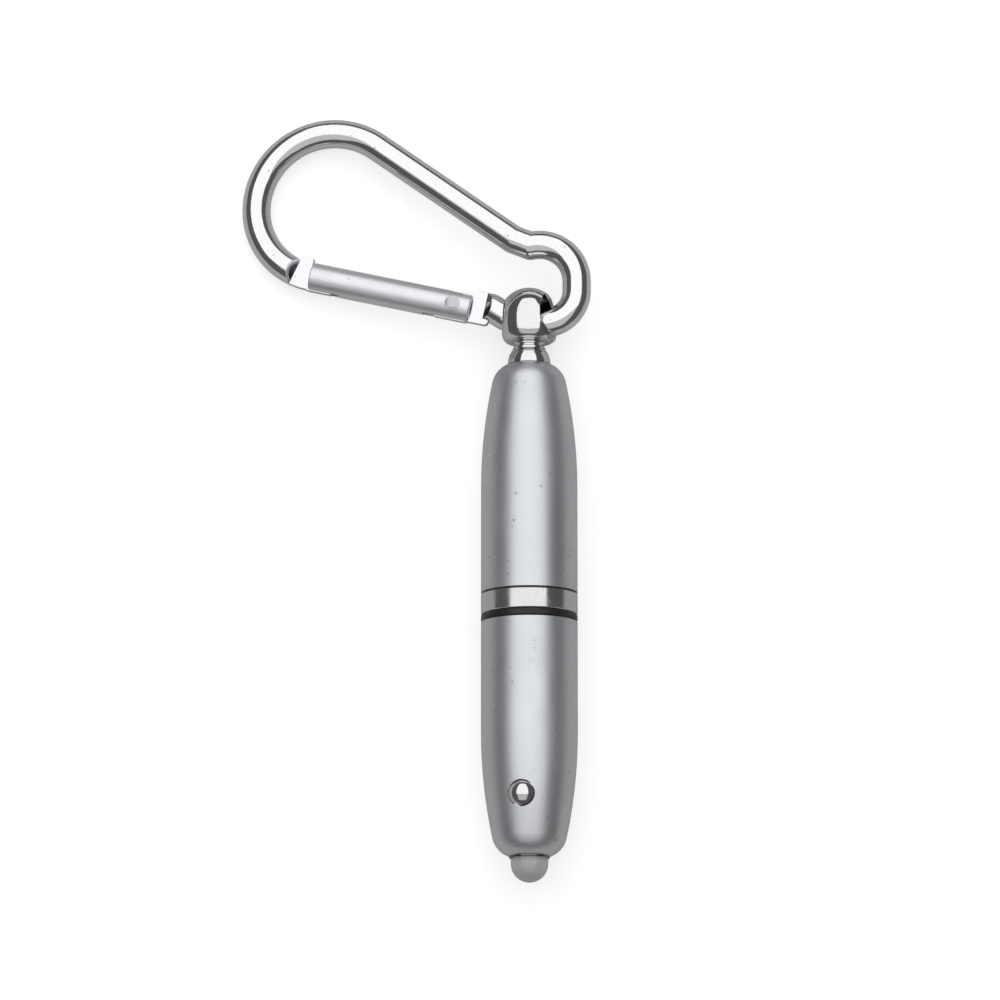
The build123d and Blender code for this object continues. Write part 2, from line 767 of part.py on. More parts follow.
# ======================================================================================
# Ball swivel
# ======================================================================================
NECK_RING_R = 2.2
NECK_GROOVE_R = 1.85
NECK_TOP = -3.0
UPPER_RING = (-3.36, -3.84)
LOWER_RING_TOP = -4.06
NECK_BOTTOM = DOME_TOP + 0.08
RING_EDGE = 0.12
WASHER_T = 0.4
WASHER_TOP = TAIL_END - END_WALL - 0.1
PEEN_R = 1.35
PEEN_EDGE = 0.2
PEEN_T = 0.5
CHEEK = (4.06, -1.3)
CHEEK_LOW = (3.8, -2.6)
CHIN = (3.35, -3.2)
HOLE_STRAIGHT = 2.3
HOLE_FLARE = 0.55
HOLE_REACH = 6.0

with BuildPart() as ball_head:
    with BuildSketch(barrel_plane):
        add(
            section(
                (0, NECK_TOP),
                (NECK_GROOVE_R, NECK_TOP),
                (NECK_GROOVE_R, UPPER_RING[0]),
                (NECK_RING_R - RING_EDGE, UPPER_RING[0]),
                (NECK_RING_R, UPPER_RING[0] - RING_EDGE),
                (NECK_RING_R, UPPER_RING[1] + RING_EDGE),
                (NECK_RING_R - RING_EDGE, UPPER_RING[1]),
                (NECK_GROOVE_R, UPPER_RING[1]),
                (NECK_GROOVE_R, LOWER_RING_TOP),
                (NECK_RING_R - RING_EDGE, LOWER_RING_TOP),
                (NECK_RING_R, LOWER_RING_TOP - RING_EDGE),
                (NECK_RING_R, NECK_BOTTOM + RING_EDGE),
                (NECK_RING_R - RING_EDGE, NECK_BOTTOM),
                (STEM_R, NECK_BOTTOM),
                (STEM_R, WASHER_TOP - WASHER_T),
                (PEEN_R, WASHER_TOP - WASHER_T),
                (PEEN_R, WASHER_TOP - WASHER_T - PEEN_EDGE),
                (STEM_R, WASHER_TOP - WASHER_T - PEEN_T),
                (0, WASHER_TOP - WASHER_T - PEEN_T),
            )
        )
    revolve(axis=barrel_axis)
    # The head is a ball whose lower half is fuller, down to the neck.
    with BuildSketch(barrel_plane):
        with BuildLine():
            upper = CenterArc((0, 0), BALL_R, 0, 90)
            side = ThreePointArc(upper @ 0, CHEEK, CHEEK_LOW)
            under = ThreePointArc(side @ 1, CHIN, (NECK_RING_R, -BALL_SKIRT))
            Polyline(under @ 1, (0, -BALL_SKIRT), upper @ 1)
        make_face()
    revolve(axis=barrel_axis)
    # The cross hole for the wire flares at both mouths.
    tilt = radians(BALL_HOLE_TILT)
    hole_section = Plane(ball_center, x_dir=(0, 1, 0), z_dir=(-sin(tilt), 0, cos(tilt)))
    mouth_r = BALL_HOLE_R + HOLE_FLARE * (HOLE_REACH - HOLE_STRAIGHT)
    with BuildSketch(hole_section):
        add(
            section(
                (0, -HOLE_REACH),
                (mouth_r, -HOLE_REACH),
                (BALL_HOLE_R, -HOLE_STRAIGHT),
                (BALL_HOLE_R, HOLE_STRAIGHT),
                (mouth_r, HOLE_REACH),
                (0, HOLE_REACH),
            )
        )
    revolve(axis=Axis(ball_center, (cos(tilt), 0, sin(tilt))), mode=Mode.SUBTRACT)
save(ball_head, "ball_head")

WASHER_R = 2.4
with BuildPart() as swivel_washer:
    with BuildSketch(barrel_plane):
        add(
            section(
                (STEM_R, WASHER_TOP),
                (WASHER_R, WASHER_TOP),
                (WASHER_R, WASHER_TOP - WASHER_T),
                (STEM_R, WASHER_TOP - WASHER_T),
            )
        )
    revolve(axis=barrel_axis)
save(swivel_washer, "swivel_washer")

# ======================================================================================
# Carabiner
# ======================================================================================
slope = radians(CARABINER_TILT)
carabiner_plane = Plane(ball_center, x_dir=(cos(slope), 0, sin(slope)), z_dir=(-sin(slope), 0, cos(slope)))

gate_turn = radians(GATE_ANGLE)
to_hook = Vector(cos(gate_turn), -sin(gate_turn))
to_spine = Vector(sin(gate_turn), cos(gate_turn))
rivet_point = Vector(*RIVET_AT)


def on_gate_line(along, offset=0.0):
    """Point at a distance from the rivet towards the hook, offset towards the spine."""
    return rivet_point + to_hook * along + to_spine * offset


def place(point):
    """The same point of the carabiner plane, in the frame of the part."""
    return carabiner_plane.from_local_coords(point)


def polar(center, radius, angle):
    """Point of a circle in the carabiner plane, at an angle from the u direction."""
    return Vector(*center) + Vector(cos(radians(angle)), sin(radians(angle))) * radius


def on_circle(center, radius, angle):
    """The same point, in the frame of the part."""
    return place(polar(center, radius, angle))


def tangent_radius(start, side):
    """Radius of an arc that leaves start straight down and ends on the gate line.

    side is +1 where the arc's centre lies right of start, and -1 where it lies left.
    """
    height = (start - rivet_point).dot(to_spine)
    return height / (1 - side * to_spine.X)


# The bow: from the gate line up its left side, over the top and into the straight spine.
bow_left = Vector(BOW_CENTER[0] - BOW_R, BOW_CENTER[1])
nose_r = tangent_radius(bow_left, 1)
nose_center = bow_left + Vector(nose_r, 0)
nose_end = nose_center - to_spine * nose_r
spine_turn = radians(SPINE_ANGLE)
spine_start = Vector(*BOW_CENTER) + Vector(sin(spine_turn), cos(spine_turn)) * BOW_R

# The kink: a short length between the end of the spine and the top arc of the hook.
spine_along = Vector(cos(spine_turn), -sin(spine_turn))
from_hook = spine_start - Vector(*HOOK_TOP_CENTER)
half_b = from_hook.dot(spine_along)
reach = -half_b - sqrt(half_b**2 - from_hook.dot(from_hook) + HOOK_TOP_R**2)
spine_end = spine_start + spine_along * (reach - KINK_LENGTH)
kink = polar(HOOK_TOP_CENTER, HOOK_TOP_R, KINK_ANGLE)

# The hook: over the top, down its right side and back through the ball.
hook_side = Vector(HOOK_RIGHT, HOOK_TOP_CENTER[1])
hook_low = hook_side - Vector(0, HOOK_STRAIGHT)
hook_low_r = tangent_radius(hook_low, -1)
hook_low_center = hook_low - Vector(hook_low_r, 0)
hook_end = hook_low_center - to_spine * hook_low_r

# The gate's own plane, with x from the rivet towards the nose.
toward_nose = carabiner_plane.from_local_coords(rivet_point - to_hook)
rivet_center = carabiner_plane.from_local_coords(rivet_point)
gate_plane = Plane(rivet_center, x_dir=toward_nose - rivet_center, z_dir=carabiner_plane.z_dir)
gate_axis = Axis(rivet_center, gate_plane.x_dir)
gate_section = Plane(
    rivet_center,
    x_dir=gate_plane.y_dir,
    z_dir=gate_plane.y_dir.cross(gate_plane.x_dir),
)

HINGE_EDGE = 4.3
HINGE_PADDLE = (-5.1, -0.8)
HINGE_TONGUE_START = -2.0
HINGE_TONGUE_END = 2.3
RIVET_SLIP = 0.05
TONGUE_INNER = 1.2
TONGUE_OUTER = 1.95
NOSE_EDGE_ANGLE = 244.2
NOSE_GAP = 0.15
NOSE_TONGUE_START = 16.9
NOSE_PADDLE_REACH = 1.4
NOSE_PADDLE_LAP = 3.0
PADDLE_CORNER = 0.5
RAMP_LENGTH = 1.15
RAMP_CLEAR = 0.15
RAMP_REACH = 4.0
BEND_START = 7.2
BEND_END = 5.2
BEND_OFFSET = 0.75


def ramp_down(foot, toward):
    """Cut both faces of the round wire down to a paddle, past ramps that end at foot."""
    start = place(foot)
    along = place(foot + toward) - start
    side_on = Plane(start, x_dir=along, z_dir=along.cross(carabiner_plane.z_dir))
    face = PADDLE_THICKNESS / 2
    clear = WIRE_R + RAMP_CLEAR
    for side in (1, -1):
        outline = [
            (0, side * face),
            (-RAMP_LENGTH, side * clear),
            (RAMP_REACH, side * clear),
            (RAMP_REACH, side * face),
        ]
        with BuildSketch(side_on) as ramp:
            with BuildLine():
                Polyline(*outline[::-side], close=True)
            make_face()
        extrude(ramp.sketch, amount=2 * WIRE_R, both=True, mode=Mode.SUBTRACT)


def plate(start, end, inner, outer, corner=0.0):
    """Rectangle on the gate plane between two distances along the gate, as a sketch."""
    with BuildSketch() as drawn:
        with Locations(((start + end) / 2, (outer - inner) / 2)):
            Rectangle(end - start, inner + outer)
        if corner:
            fillet(drawn.vertices(), corner)
    return drawn.sketch


with BuildPart() as carabiner_frame:
    # Nose, bow and straight spine.
    with BuildLine() as wire_path:
        ThreePointArc(place(nose_end), on_circle(nose_center, nose_r, 225), place(bow_left))
        ThreePointArc(place(bow_left), on_circle(BOW_CENTER, BOW_R, 120), place(spine_start))
        Line(place(spine_start), place(spine_end))
    nose_face = Plane(
        wire_path.line @ 0,
        x_dir=carabiner_plane.z_dir,
        z_dir=wire_path.line % 0,
    )
    with BuildSketch(nose_face):
        Circle(WIRE_R)
    sweep()
    # Hook: over the top, down the side, back through the ball and up to its paddle.
    bend_low = on_gate_line(BEND_START)
    bend_high = on_gate_line(BEND_END, BEND_OFFSET)
    with BuildLine() as hook_path:
        ThreePointArc(place(kink), on_circle(HOOK_TOP_CENTER, HOOK_TOP_R, 50), place(hook_side))
        Line(place(hook_side), place(hook_low))
        ThreePointArc(place(hook_low), on_circle(hook_low_center, hook_low_r, -50), place(hook_end))
        Line(place(hook_end), place(bend_low))
    with BuildSketch(Plane(hook_path.line @ 0, z_dir=hook_path.line % 0)):
        Circle(WIRE_R)
    sweep()
    bends = [bend_low, bend_high, on_gate_line(HINGE_EDGE - RAMP_LENGTH, BEND_OFFSET)]
    for first, second in zip(bends, bends[1:]):
        run = place(second) - place(first)
        with BuildSketch(Plane(place(first), z_dir=run)):
            Circle(WIRE_R)
        extrude(amount=run.length)
        with Locations(place(first)):
            Sphere(WIRE_R)
    with BuildSketch(Plane(place(spine_end), z_dir=place(kink) - place(spine_end))):
        Circle(WIRE_R)
    extrude(amount=(kink - spine_end).length)
    with Locations(place(spine_end), place(kink)):
        Sphere(WIRE_R)
    # Both ends are stamped flat, wider than the wire on the inner side of the ring.
    ramp_down(on_gate_line(HINGE_EDGE), to_hook * -1)
    edge_turn = radians(NOSE_EDGE_ANGLE)
    ramp_down(
        polar(nose_center, nose_r, NOSE_EDGE_ANGLE),
        Vector(-sin(edge_turn), cos(edge_turn)),
    )
    nose_reach = (nose_end - rivet_point).length
    with BuildSketch(gate_plane):
        add(plate(*HINGE_PADDLE, PADDLE_INNER, PADDLE_OUTER, PADDLE_CORNER))
        add(plate(HINGE_TONGUE_START, HINGE_TONGUE_END, TONGUE_INNER, TONGUE_OUTER))
        add(plate(NOSE_TONGUE_START, nose_reach, TONGUE_INNER, TONGUE_OUTER))
        add(
            plate(
                GATE_NOSE_END + NOSE_GAP,
                nose_reach + NOSE_PADDLE_REACH,
                PADDLE_INNER,
                PADDLE_OUTER,
                PADDLE_CORNER,
            )
        )
        Circle(RIVET_R + RIVET_SLIP, mode=Mode.SUBTRACT)
    extrude(amount=PADDLE_THICKNESS / 2, both=True)
    with BuildSketch(carabiner_plane):
        with BuildLine():
            first = NOSE_EDGE_ANGLE - NOSE_PADDLE_LAP
            last = 270 - GATE_ANGLE
            middle = (first + last) / 2
            outer_r = nose_r + PADDLE_OUTER
            inner_r = nose_r - PADDLE_INNER
            outer_ends = [polar(nose_center, outer_r, a) for a in (first, middle, last)]
            inner_ends = [polar(nose_center, inner_r, a) for a in (last, middle, first)]
            ThreePointArc(*outer_ends)
            Line(outer_ends[-1], inner_ends[0])
            ThreePointArc(*inner_ends)
            Line(inner_ends[-1], outer_ends[0])
        make_face()
    extrude(amount=PADDLE_THICKNESS / 2, both=True)
save(carabiner_frame, "carabiner_frame")

# ---- gate tube with its rivet -------------------------------------------------------------
TUBE_EDGE = 0.18
RIVET_HEAD_R = 1.05
RIVET_HEAD_SEAT = 1.55
RIVET_HEAD_TOP = 2.05
RIVET_CROWN = 0.15

with BuildPart() as gate_tube:
    with BuildSketch(gate_section):
        add(
            section(
                (GATE_BORE_R, GATE_HINGE_END),
                (GATE_R - TUBE_EDGE, GATE_HINGE_END),
                (GATE_R, GATE_HINGE_END + TUBE_EDGE),
                (GATE_R, GATE_NOSE_END - TUBE_EDGE),
                (GATE_R - TUBE_EDGE, GATE_NOSE_END),
                (GATE_BORE_R, GATE_NOSE_END),
            )
        )
    revolve(axis=gate_axis)
    with BuildSketch(gate_plane):
        add(plate(GATE_HINGE_END - 1, INNER_SLOT_END, 2 * GATE_R, 0))
        add(plate(GATE_HINGE_END - 1, OUTER_SLOT_END, 0, 2 * GATE_R))
        add(plate(NOSE_SLOT_START, GATE_NOSE_END + 1, 0, 2 * GATE_R))
    extrude(amount=SLOT_WIDTH / 2, both=True, mode=Mode.SUBTRACT)
    with BuildSketch(gate_plane):
        Circle(RIVET_R)
    extrude(amount=GATE_R, both=True, mode=Mode.SUBTRACT)
    for side in (1, -1):
        with BuildSketch(gate_plane.offset(side * RIVET_HEAD_SEAT)) as seat:
            Circle(RIVET_HEAD_R)
        extrude(seat.sketch, amount=side, dir=gate_plane.z_dir, mode=Mode.SUBTRACT)
save(gate_tube, "gate_tube")

with BuildPart() as gate_rivet:
    rivet_section = Plane(rivet_center, x_dir=gate_plane.x_dir, z_dir=-gate_plane.y_dir)
    with BuildSketch(rivet_section):
        for side in (1, -1):
            add(
                section(
                    (0, 0),
                    (RIVET_R, 0),
                    (RIVET_R, side * RIVET_HEAD_SEAT),
                    (RIVET_HEAD_R, side * RIVET_HEAD_SEAT),
                    (RIVET_HEAD_R, side * RIVET_HEAD_TOP),
                    (RIVET_HEAD_R * 0.6, side * (RIVET_HEAD_TOP + RIVET_CROWN * 0.8)),
                    (0, side * (RIVET_HEAD_TOP + RIVET_CROWN)),
                )
            )
    revolve(axis=Axis(rivet_center, gate_plane.z_dir))
save(gate_rivet, "gate_rivet")

# ---- spring plunger that pushes on the tongue and shuts the gate ----------------------------
PLUNGER_START = HINGE_TONGUE_END + 0.05
PLUNGER_HEAD_END = 4.0
PLUNGER_TAIL_END = 5.2
SPRING_SEAT_START = 11.2
SPRING_SEAT_END = 12.7
GATE_SPRING_WIRE_R = 0.14
GATE_SPRING_R = 1.15
GATE_SPRING_PITCH = 0.9
PLUNGER_HEAD_R = 1.4
PLUNGER_HEAD_EDGE = 0.15
PLUNGER_TAIL_R = 0.8

with BuildPart() as gate_plunger:
    with BuildSketch(gate_section):
        add(
            section(
                (0, PLUNGER_START),
                (PLUNGER_HEAD_R - PLUNGER_HEAD_EDGE, PLUNGER_START),
                (PLUNGER_HEAD_R, PLUNGER_START + PLUNGER_HEAD_EDGE),
                (PLUNGER_HEAD_R, PLUNGER_HEAD_END),
                (PLUNGER_TAIL_R, PLUNGER_HEAD_END),
                (PLUNGER_TAIL_R, PLUNGER_TAIL_END),
                (0, PLUNGER_TAIL_END),
            )
        )
    revolve(axis=gate_axis)
save(gate_plunger, "gate_plunger")

with BuildPart() as gate_spring:
    coil_start = PLUNGER_HEAD_END + GATE_SPRING_WIRE_R
    with BuildLine() as gate_coil:
        Helix(
            pitch=GATE_SPRING_PITCH,
            height=SPRING_SEAT_START - GATE_SPRING_WIRE_R - coil_start,
            radius=GATE_SPRING_R,
            center=rivet_center + gate_plane.x_dir * coil_start,
            direction=gate_plane.x_dir,
        )
    with BuildSketch(Plane(gate_coil.line @ 0, z_dir=gate_coil.line % 0)):
        Circle(GATE_SPRING_WIRE_R)
    sweep(is_frenet=True)
save(gate_spring, "gate_spring")

with BuildPart() as gate_spring_seat:
    with BuildSketch(gate_section):
        add(
            section(
                (0, SPRING_SEAT_START),
                (GATE_BORE_R, SPRING_SEAT_START),
                (GATE_BORE_R, SPRING_SEAT_END),
                (0, SPRING_SEAT_END),
            )
        )
    revolve(axis=gate_axis)
save(gate_spring_seat, "gate_spring_seat")
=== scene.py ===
import math

import bpy
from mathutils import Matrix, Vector


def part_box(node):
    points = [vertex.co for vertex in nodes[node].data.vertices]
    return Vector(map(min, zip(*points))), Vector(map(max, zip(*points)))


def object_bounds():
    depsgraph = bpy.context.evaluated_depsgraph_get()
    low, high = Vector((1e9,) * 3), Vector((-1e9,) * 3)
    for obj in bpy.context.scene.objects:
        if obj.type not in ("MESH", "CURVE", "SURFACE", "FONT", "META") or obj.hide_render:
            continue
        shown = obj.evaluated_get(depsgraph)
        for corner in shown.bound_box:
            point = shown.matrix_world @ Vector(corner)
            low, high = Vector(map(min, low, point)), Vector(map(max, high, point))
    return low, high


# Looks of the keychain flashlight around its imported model. Metres, in the CAD frame:
# the light lies on the table, barrel along Y, tail and ring towards +Y, +Z up.

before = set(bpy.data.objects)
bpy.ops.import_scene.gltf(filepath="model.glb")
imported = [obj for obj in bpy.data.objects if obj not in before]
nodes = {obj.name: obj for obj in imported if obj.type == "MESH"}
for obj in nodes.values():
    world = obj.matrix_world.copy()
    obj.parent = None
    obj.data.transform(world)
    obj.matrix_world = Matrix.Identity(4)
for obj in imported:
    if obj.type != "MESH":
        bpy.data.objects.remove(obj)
cad_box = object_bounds()

MM = 0.001

shell_low, shell_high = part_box("rear_shell")
barrel_x = (shell_low.x + shell_high.x) / 2
barrel_z = (shell_low.z + shell_high.z) / 2
TAIL_TO_BALL = 0.0063
ball_y = shell_high.y + TAIL_TO_BALL

# --------------------------------------------------------------------------------------
# Camera: above the light and a little towards its head, looking down
# --------------------------------------------------------------------------------------
CAMERA_DISTANCE = 0.9
CAMERA_TILT = math.radians(10.5)
CAMERA_LENS = 240.4
SENSOR_WIDTH = 36.0
AIM_LEFT = 0.00394
AIM_BELOW_BALL = 0.02493


def add_camera():
    """Long lens, aimed between the ball and the barrel's middle."""
    data = bpy.data.cameras.new("camera")
    data.lens = CAMERA_LENS
    data.sensor_width = SENSOR_WIDTH
    camera = bpy.data.objects.new("camera", data)
    bpy.context.scene.collection.objects.link(camera)
    back = Vector((0, -math.sin(CAMERA_TILT), math.cos(CAMERA_TILT)))
    target = Vector((barrel_x - AIM_LEFT, ball_y - AIM_BELOW_BALL, barrel_z))
    camera.location = target + back * CAMERA_DISTANCE
    camera.rotation_mode = "QUATERNION"
    camera.rotation_quaternion = (-back).to_track_quat("-Z", "Y")
    bpy.context.scene.camera = camera


# --------------------------------------------------------------------------------------
# Light: one large softbox overhead, a weaker panel beyond the head, a dim room
# --------------------------------------------------------------------------------------
LIGHT_HEIGHT = 1.2
SOFTBOX = ((-1.277, 1.075), (-0.302, 3.6))
PANEL = ((-1.063, 0.96), (-2.0, -0.328))
SOFTBOX_RADIANCE = 1.12
PANEL_RADIANCE = 0.5
ROOM = (0.10, 0.101, 0.104)


def add_area(name, spans, radiance):
    """Flat light facing down that covers the given spans in X and Y."""
    (x0, x1), (y0, y1) = spans
    data = bpy.data.lights.new(name, "AREA")
    data.shape = "RECTANGLE"
    data.size = x1 - x0
    data.size_y = y1 - y0
    data.energy = radiance * math.pi * data.size * data.size_y
    light = bpy.data.objects.new(name, data)
    bpy.context.scene.collection.objects.link(light)
    light.location = ((x0 + x1) / 2, (y0 + y1) / 2, LIGHT_HEIGHT)


def add_lights():
    """The two panels and the room around them."""
    add_area("softbox", SOFTBOX, SOFTBOX_RADIANCE)
    add_area("panel", PANEL, PANEL_RADIANCE)
    world = bpy.data.worlds.new("room")
    world.use_nodes = True
    world.node_tree.nodes["Background"].inputs["Color"].default_value = (*ROOM, 1)
    bpy.context.scene.world = world
    bpy.context.scene.view_settings.view_transform = "Standard"


# --------------------------------------------------------------------------------------
# Material helpers
# --------------------------------------------------------------------------------------
class Shader:
    """A material with one Principled shader and short calls for its procedural nodes.

    Lengths are in millimetres: a scale of 5 is five features per millimetre.
    """

    def __init__(self, name, color, metallic, roughness):
        self.material = bpy.data.materials.new(name)
        self.material.use_nodes = True
        self.tree = self.material.node_tree
        self.surface = self.tree.nodes["Principled BSDF"]
        self.set("Base Color", (*color, 1))
        self.set("Metallic", metallic)
        self.set("Roughness", roughness)
        coordinates = self.tree.nodes.new("ShaderNodeTexCoord")
        self.place = self.mapped(coordinates.outputs["Object"], (1000, 1000, 1000))

    def set(self, socket, value):
        self.surface.inputs[socket].default_value = value

    def join(self, output, target):
        self.tree.links.new(output, target)

    def mapped(self, source, scale, turn=(0, 0, 0)):
        """The coordinates scaled and turned: features run long where the scale is small."""
        node = self.tree.nodes.new("ShaderNodeMapping")
        node.inputs["Scale"].default_value = scale
        node.inputs["Rotation"].default_value = turn
        self.join(source, node.inputs["Vector"])
        return node.outputs["Vector"]

    def noise(self, scale, detail, place=None, offset=0.0):
        """Noise from 0 to 1; another offset gives another pattern."""
        node = self.tree.nodes.new("ShaderNodeTexNoise")
        node.noise_dimensions = "4D"
        node.inputs["W"].default_value = offset
        node.inputs["Scale"].default_value = scale
        node.inputs["Detail"].default_value = detail
        self.join(place or self.place, node.inputs["Vector"])
        return node.outputs["Fac"]

    def cells(self, scale, place):
        """Distance to scattered points, and each point's own random colour."""
        node = self.tree.nodes.new("ShaderNodeTexVoronoi")
        node.inputs["Scale"].default_value = scale
        self.join(place, node.inputs["Vector"])
        return node.outputs["Distance"], node.outputs["Color"]

    def span(self, value, low, high, to_low=0.0, to_high=1.0):
        """The value spread from low..high to to_low..to_high, and held at both ends."""
        node = self.tree.nodes.new("ShaderNodeMapRange")
        node.inputs["From Min"].default_value = low
        node.inputs["From Max"].default_value = high
        node.inputs["To Min"].default_value = to_low
        node.inputs["To Max"].default_value = to_high
        self.join(value, node.inputs["Value"])
        return node.outputs["Result"]

    def math(self, operation, first, second):
        """One sum on two numbers or outputs."""
        node = self.tree.nodes.new("ShaderNodeMath")
        node.operation = operation
        for socket, value in zip(node.inputs, (first, second)):
            if isinstance(value, (int, float)):
                socket.default_value = value
            else:
                self.join(value, socket)
        return node.outputs[0]

    def blend(self, factor, first, second):
        """Colour between two colours or colour outputs."""
        node = self.tree.nodes.new("ShaderNodeMix")
        node.data_type = "RGBA"
        self.join(factor, node.inputs["Factor"])
        for name, value in (("A", first), ("B", second)):
            socket = [s for s in node.inputs if s.name == name and s.type == "RGBA"][0]
            if isinstance(value, tuple):
                socket.default_value = (*value, 1)
            else:
                self.join(value, socket)
        return [s for s in node.outputs if s.type == "RGBA"][0]

    def bump(self, height, depth, normal=None):
        """Relief of the given depth in millimetres."""
        node = self.tree.nodes.new("ShaderNodeBump")
        node.inputs["Strength"].default_value = 1.0
        node.inputs["Distance"].default_value = depth * MM
        self.join(height, node.inputs["Height"])
        if normal is not None:
            self.join(normal, node.inputs["Normal"])
        return node.outputs["Normal"]

    def finish_normal(self, normal):
        self.join(normal, self.surface.inputs["Normal"])

    def finish_color(self, output):
        self.join(output, self.surface.inputs["Base Color"])

    def finish_roughness(self, output):
        self.join(output, self.surface.inputs["Roughness"])


def shade(color, factor):
    """The colour made darker or lighter, no channel past 1."""
    return tuple(min(1.0, c * factor) for c in color)


# --------------------------------------------------------------------------------------
# Materials: worn metal, rubber, moulded plastic, cast epoxy
# --------------------------------------------------------------------------------------
SMALLEST_PIT = 0.03
PIT_DEPTH = 0.02
FLECK_DEPTH = 0.006
HAIRLINE_DEPTH = 0.002


def hairlines(s):
    """Mask of fine scratches that run two ways over the surface."""
    along = s.mapped(s.place, (6.0, 0.35, 6.0), (0.1, 0.0, 0.22))
    across = s.mapped(s.place, (0.5, 7.0, 1.5), (0.0, 0.0, 0.9))
    first = s.span(s.noise(1.0, 2.0, along, offset=4.0), 0.66, 0.72)
    second = s.span(s.noise(1.0, 2.0, across, offset=7.0), 0.69, 0.74)
    return s.math("ADD", first, second)


def pit_mask(s, largest):
    """Mask of sparse pits with ragged rims, of random sizes up to the largest."""
    distance, lot = s.cells(1.1, s.place)
    size = s.span(lot, 0.6, 0.85, 0.0, largest)
    rim = s.span(s.noise(6.0, 2.0, offset=9.0), 0.3, 0.7, -0.05, 0.05)
    inside = s.math("LESS_THAN", s.math("ADD", distance, rim), size)
    return s.math("MULTIPLY", inside, s.math("GREATER_THAN", size, SMALLEST_PIT))


def fleck_mask(s, largest):
    """Mask of small pale flecks, of random sizes up to the largest."""
    distance, lot = s.cells(2.3, s.mapped(s.place, (1.0, 0.8, 1.0), (0.3, 0.2, 0.1)))
    return s.math("LESS_THAN", distance, s.span(lot, 0.62, 0.9, 0.0, largest))


def metal(name, color, roughness, grain, smudge, pits, scratch):
    """Worn metal: fine grain, handling marks, sparse pits and hairline scratches.

    grain is the depth of the fine texture in mm, smudge the swing of the roughness,
    pits about the radius in mm of the largest pits, scratch the strength of the hairlines.
    """
    s = Shader(name, color, 1.0, roughness)
    fine = s.noise(3.4, 4.0)
    cloud = s.noise(0.22, 3.0, offset=2.0)
    hair = hairlines(s)
    pit = pit_mask(s, pits)
    fleck = fleck_mask(s, 1.4 * pits)

    rough = s.span(cloud, 0.3, 0.7, roughness - smudge, roughness + smudge)
    rough = s.math("ADD", rough, s.math("MULTIPLY", hair, scratch * 0.12))
    s.finish_roughness(s.math("ADD", rough, s.math("MULTIPLY", pit, 0.15)))

    tone = s.blend(s.span(fine, 0.25, 0.75), shade(color, 0.965), shade(color, 1.035))
    tone = s.blend(s.math("MULTIPLY", hair, scratch * 0.4), tone, shade(color, 0.8))
    tone = s.blend(s.math("MULTIPLY", fleck, 0.45), tone, shade(color, 1.22))
    s.finish_color(s.blend(s.math("MULTIPLY", pit, 0.5), tone, shade(color, 0.45)))

    relief = s.bump(fine, grain)
    relief = s.bump(s.math("SUBTRACT", 1.0, hair), HAIRLINE_DEPTH * scratch, relief)
    relief = s.bump(fleck, FLECK_DEPTH, relief)
    s.finish_normal(s.bump(s.math("SUBTRACT", 1.0, pit), PIT_DEPTH, relief))
    return s.material


def rubber(name, color, roughness):
    """Black rubber: a fine matt skin with pale dust on it."""
    s = Shader(name, color, 0.0, roughness)
    dust = s.noise(3.0, 4.0)
    s.finish_color(s.blend(s.span(dust, 0.5, 0.8), color, shade(color, 2.2)))
    s.finish_roughness(s.span(s.noise(1.2, 3.0, offset=3.0), 0.3, 0.7, roughness - 0.1, roughness + 0.1))
    s.finish_normal(s.bump(s.noise(12.0, 3.0, offset=1.0), 0.006))
    return s.material


def moulded(name, color, roughness):
    """Moulded plastic: a faint matt texture and slow changes of tone."""
    s = Shader(name, color, 0.0, roughness)
    s.finish_color(s.blend(s.noise(0.8, 3.0), shade(color, 0.85), shade(color, 1.12)))
    s.finish_roughness(s.span(s.noise(2.5, 3.0, offset=2.0), 0.3, 0.7, roughness - 0.08, roughness + 0.08))
    s.finish_normal(s.bump(s.noise(14.0, 2.0, offset=5.0), 0.004))
    return s.material


def epoxy(name):
    """Clear cast epoxy, a little cloudy, with faint streaks under the skin."""
    s = Shader(name, (0.97, 0.975, 0.97), 0.0, 0.03)
    s.set("IOR", 1.52)
    s.set("Transmission Weight", 0.6)
    s.finish_roughness(s.span(s.noise(0.9, 3.0), 0.35, 0.75, 0.015, 0.09))
    s.finish_color(s.blend(s.noise(0.5, 2.0, offset=3.0), (0.90, 0.91, 0.90), (0.98, 0.98, 0.975)))
    s.finish_normal(s.bump(s.noise(2.0, 2.0, offset=6.0), 0.004))
    return s.material


# --------------------------------------------------------------------------------------
# Floor: a pale table top, level with the lowest point of the light
# --------------------------------------------------------------------------------------
FLOOR_REACH = 6.0
FLOOR_LIFT = 0.66
FLOOR_ROUGHNESS = 0.9
FLOOR_TONE = (0.6, 0.6, 0.6)
FLOOR_DARK = (0.585, 0.585, 0.58)
FLOOR_PALE = (0.615, 0.615, 0.615)


def floor_finish():
    """Matt white with a faint mottle, lifted where the camera looks at it directly."""
    s = Shader("table_white", FLOOR_TONE, 0.0, FLOOR_ROUGHNESS)
    s.finish_color(s.blend(s.noise(0.02, 3.0), FLOOR_DARK, FLOOR_PALE))
    path = s.tree.nodes.new("ShaderNodeLightPath")
    lift = s.math("MULTIPLY", path.outputs["Is Camera Ray"], FLOOR_LIFT)
    s.set("Emission Color", (1, 1, 1, 1))
    s.join(lift, s.surface.inputs["Emission Strength"])
    return s.material


def add_floor():
    """One square sheet around the origin."""
    mesh = bpy.data.meshes.new("floor")
    corners = ((-1, -1), (1, -1), (1, 1), (-1, 1))
    places = [(x * FLOOR_REACH, y * FLOOR_REACH, cad_box[0].z) for x, y in corners]
    mesh.from_pydata(places, [], [(0, 1, 2, 3)])
    floor = bpy.data.objects.new("floor", mesh)
    bpy.context.scene.collection.objects.link(floor)
    mesh.materials.append(floor_finish())


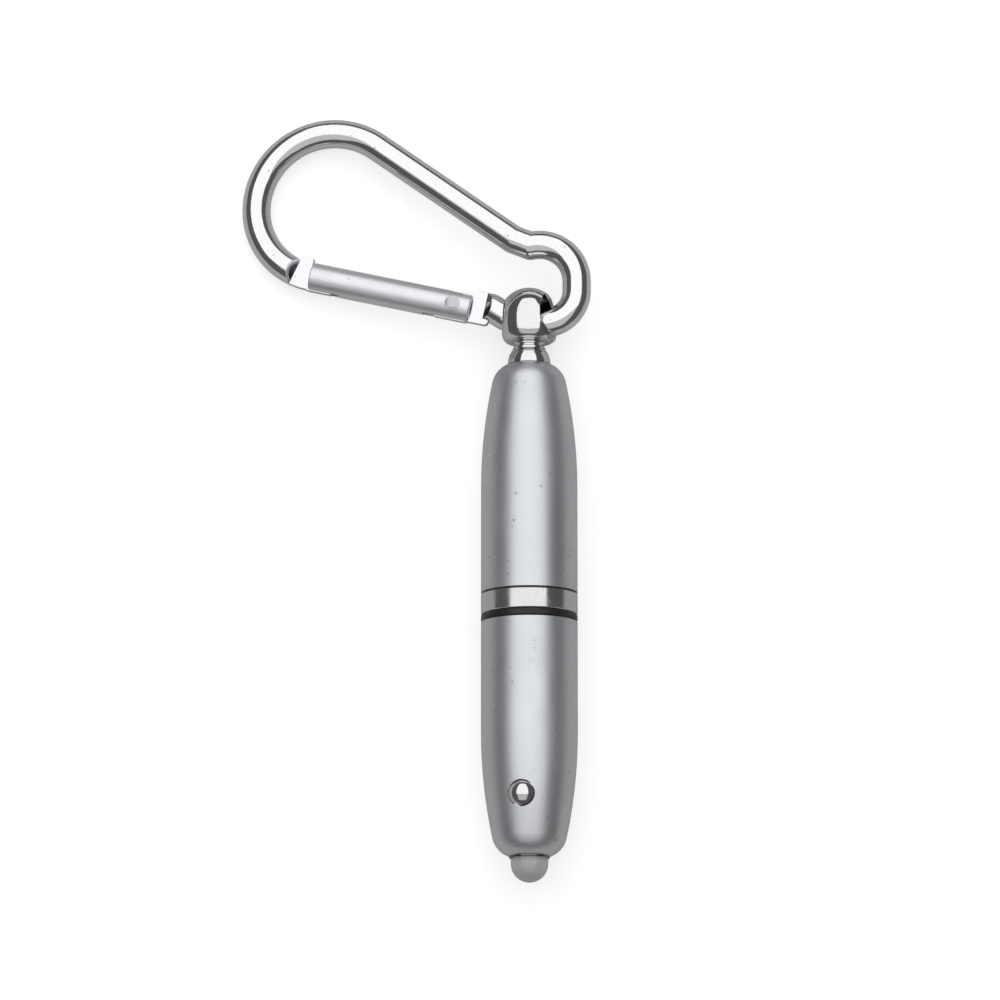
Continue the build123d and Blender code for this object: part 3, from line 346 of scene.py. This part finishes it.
# --------------------------------------------------------------------------------------
# Finishes: one for each material slot of the imported model, and some for single nodes; the LED collar's
# is painted shade
# --------------------------------------------------------------------------------------
SILVER = (0.70, 0.715, 0.735)
BRIGHT = (0.74, 0.745, 0.755)

SLOT_FINISHES = {
    "barrel": metal(
        "satin_plate", SILVER,
        roughness=0.42, grain=0.006, smudge=0.03, pits=0.2, scratch=0.6),
    "band": metal(
        "band_plate", shade(BRIGHT, 0.88),
        roughness=0.19, grain=0.002, smudge=0.07, pits=0.22, scratch=1.5),
    "chrome": metal(
        "bright_plate", shade(BRIGHT, 0.97),
        roughness=0.07, grain=0.0012, smudge=0.03, pits=0.1, scratch=0.7),
    "wire_chrome": metal(
        "wire_plate", shade(BRIGHT, 1.06),
        roughness=0.10, grain=0.0026, smudge=0.03, pits=0.14, scratch=0.7),
    "gate_metal": metal(
        "satin_steel", (0.82, 0.81, 0.84),
        roughness=0.42, grain=0.004, smudge=0.04, pits=0.14, scratch=1.2),
    "brass": metal(
        "brass", (0.72, 0.55, 0.27),
        roughness=0.25, grain=0.002, smudge=0.05, pits=0.04, scratch=0.8),
    "spring_steel": metal(
        "spring_steel", (0.55, 0.55, 0.56),
        roughness=0.22, grain=0.001, smudge=0.04, pits=0.02, scratch=0.8),
    "cell_can": metal(
        "cell_can", (0.68, 0.68, 0.67),
        roughness=0.3, grain=0.0015, smudge=0.05, pits=0.02, scratch=0.8),
    "lead_metal": metal(
        "lead_metal", (0.7, 0.7, 0.69),
        roughness=0.22, grain=0.001, smudge=0.05, pits=0.02, scratch=0.6),
    "rubber_black": rubber("seal_rubber", (0.012, 0.012, 0.013), roughness=0.42),
    "plastic_black": moulded("plastic_black", (0.02, 0.02, 0.022), roughness=0.5),
    "plastic_white": moulded("plastic_white", (0.72, 0.72, 0.69), roughness=0.45),
    "board_green": moulded("board_green", (0.02, 0.16, 0.06), roughness=0.35),
    "led_die": moulded("led_die", (0.55, 0.45, 0.06), roughness=0.3),
    "clear_epoxy": epoxy("clear_epoxy"),
}

NODE_FINISHES = {
    # Painted shade: the LED collar gets near-black metal so that it reads as the dark gap between the
    # front shell and the lens.
    "led_collar": metal(
        "collar_painted_gap_shade", (0.16, 0.16, 0.165),
        roughness=0.2, grain=0.004, smudge=0.05, pits=0.14, scratch=1.0),
    "gate_rivet": metal(
        "dull_rivet", (0.50, 0.50, 0.51),
        roughness=0.24, grain=0.02, smudge=0.08, pits=0.16, scratch=1.2),
}


def dress_cad_nodes():
    """Give each CAD node its own finish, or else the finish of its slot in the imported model."""
    for name, node in nodes.items():
        for held in node.material_slots:
            slot = held.material.name.split(".")[0]
            held.material = NODE_FINISHES.get(name, SLOT_FINISHES[slot])


add_camera()
add_lights()
add_floor()
dress_cad_nodes()
